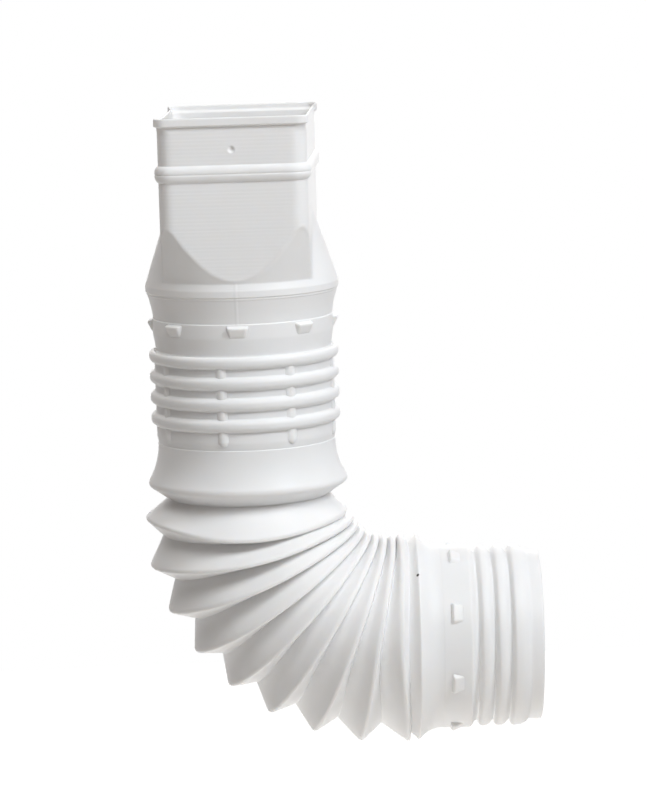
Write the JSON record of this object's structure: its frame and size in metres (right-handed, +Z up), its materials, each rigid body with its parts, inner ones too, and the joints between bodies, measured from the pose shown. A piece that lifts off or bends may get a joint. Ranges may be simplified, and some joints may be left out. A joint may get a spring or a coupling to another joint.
{
  "type": "flexible downspout extension",
  "caption": "White plastic downspout adapter with a rectangular mouth and round snap spigot, fitted in a ringed cuff above a folded bellows elbow with a ringed outlet spigot.",
  "frame": {"origin": "centre of the rectangular mouth at the top of its front and rear lips", "axes": "+Z up out of the mouth along the adapter, +X towards the outlet so that the bellows bends in the XZ plane, -Y the side the picture shows"},
  "size_m": [0.222, 0.1172, 0.3622],
  "materials": {
    "white_plastic": "satin blow-moulded polyethylene"
  },
  "bodies": {
    "root": {"downspout_adapter": "white_plastic", "flexible_elbow": "white_plastic"}
  },
  "joints": []
}
